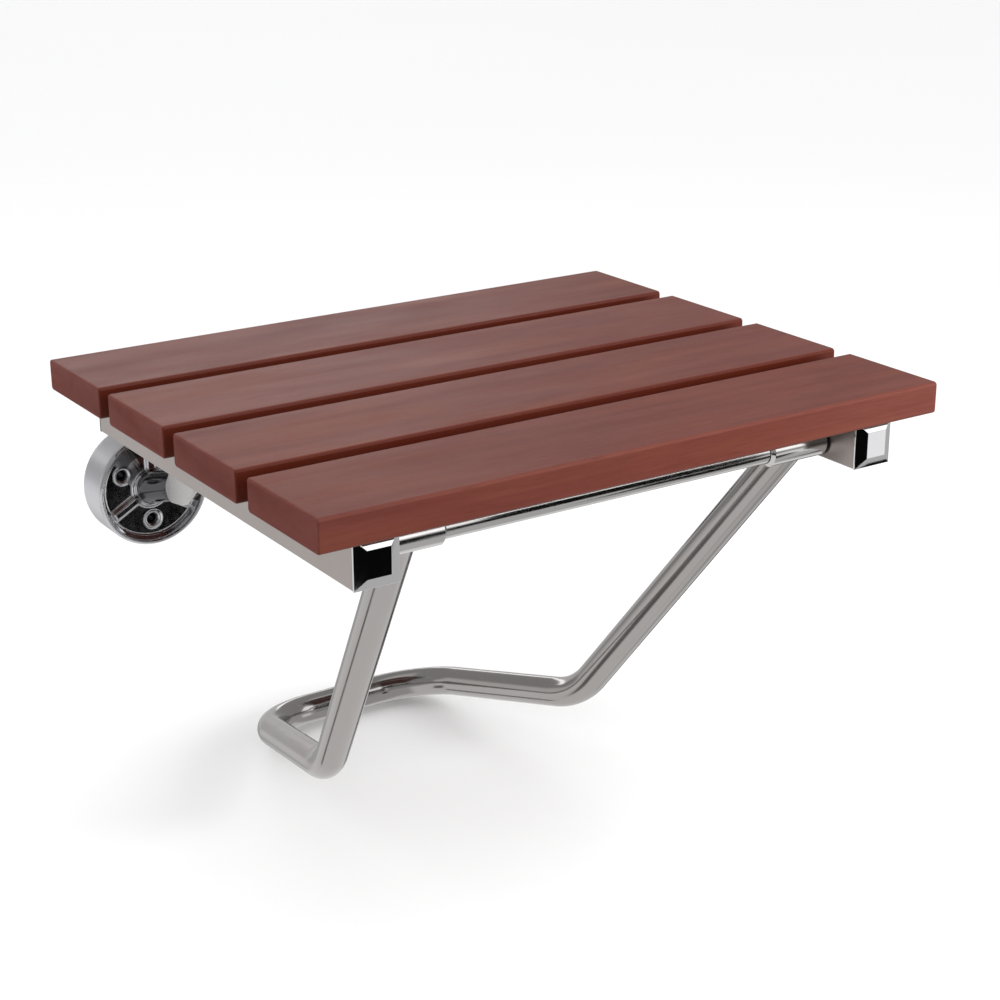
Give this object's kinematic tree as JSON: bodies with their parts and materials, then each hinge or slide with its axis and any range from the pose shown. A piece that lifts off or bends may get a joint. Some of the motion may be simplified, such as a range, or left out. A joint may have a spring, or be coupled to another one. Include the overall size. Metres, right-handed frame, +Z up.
{
  "type": "wall-mounted fold-down shower seat",
  "caption": "Slatted wooden shower seat on two rails with a swinging tube leg, hinged on two round wall flanges so that it folds up against the wall.",
  "frame": {"origin": "on the wall plane, midway between the two wall flanges, at the height of their centres", "axes": "+X to the right as seen from the front, +Y into the wall, +Z up"},
  "size_m": [0.508, 0.456, 0.3715],
  "materials": {
    "slat_wood": "oiled reddish hardwood, satin, softened long edges",
    "rail_metal": "satin, pale grey",
    "cap_chrome": "polished, bevelled",
    "rod_steel": "satin",
    "leg_steel": "satin, brushed along the tube",
    "sleeve_steel": "fine satin",
    "flange_chrome": "polished face, satin band",
    "arm_metal": "satin plate",
    "screw_steel": "plain machined",
    "black_plastic": "matt black",
    "white_plastic": "off-white nylon",
    "black_rubber": "matt black"
  },
  "bodies": {
    "wall_brackets": {"wall_flange_left": "flange_chrome", "flange_gasket_left": "black_rubber", "bracket_arm_left": "arm_metal", "hinge_bush_left": "white_plastic", "wall_flange_right": "flange_chrome", "flange_gasket_right": "black_rubber", "bracket_arm_right": "arm_metal", "hinge_bush_right": "white_plastic"},
    "leg": {"leg_tube": "leg_steel", "leg_sleeve_left": "sleeve_steel", "leg_bush_left": "black_plastic", "leg_sleeve_right": "sleeve_steel", "leg_bush_right": "black_plastic"},
    "seat": {"slat_1": "slat_wood", "slat_2": "slat_wood", "slat_3": "slat_wood", "slat_4": "slat_wood", "rail_left": "rail_metal", "front_cap_left": "cap_chrome", "rear_cap_left": "black_plastic", "slat_screws_left": "screw_steel", "rail_right": "rail_metal", "front_cap_right": "cap_chrome", "rear_cap_right": "black_plastic", "slat_screws_right": "screw_steel", "front_rod": "rod_steel", "hinge_strap_left": "arm_metal", "strap_screws_left": "screw_steel", "hinge_pin_left": "screw_steel", "hinge_nut_left": "screw_steel", "hinge_strap_right": "arm_metal", "strap_screws_right": "screw_steel", "hinge_pin_right": "screw_steel", "hinge_nut_right": "screw_steel"}
  },
  "joints": [
    {"name": "seat_fold", "type": "hinge", "parent": "wall_brackets", "child": "seat", "pos_m": [0, -0.084, 0.085], "axis": [-1, 0, 0], "range_deg": [0, 90]},
    {"name": "leg_swing", "type": "hinge", "parent": "seat", "child": "leg", "pos_m": [0, -0.404, 0.075], "axis": [1, 0, 0], "range_deg": [0, 46]}
  ]
}
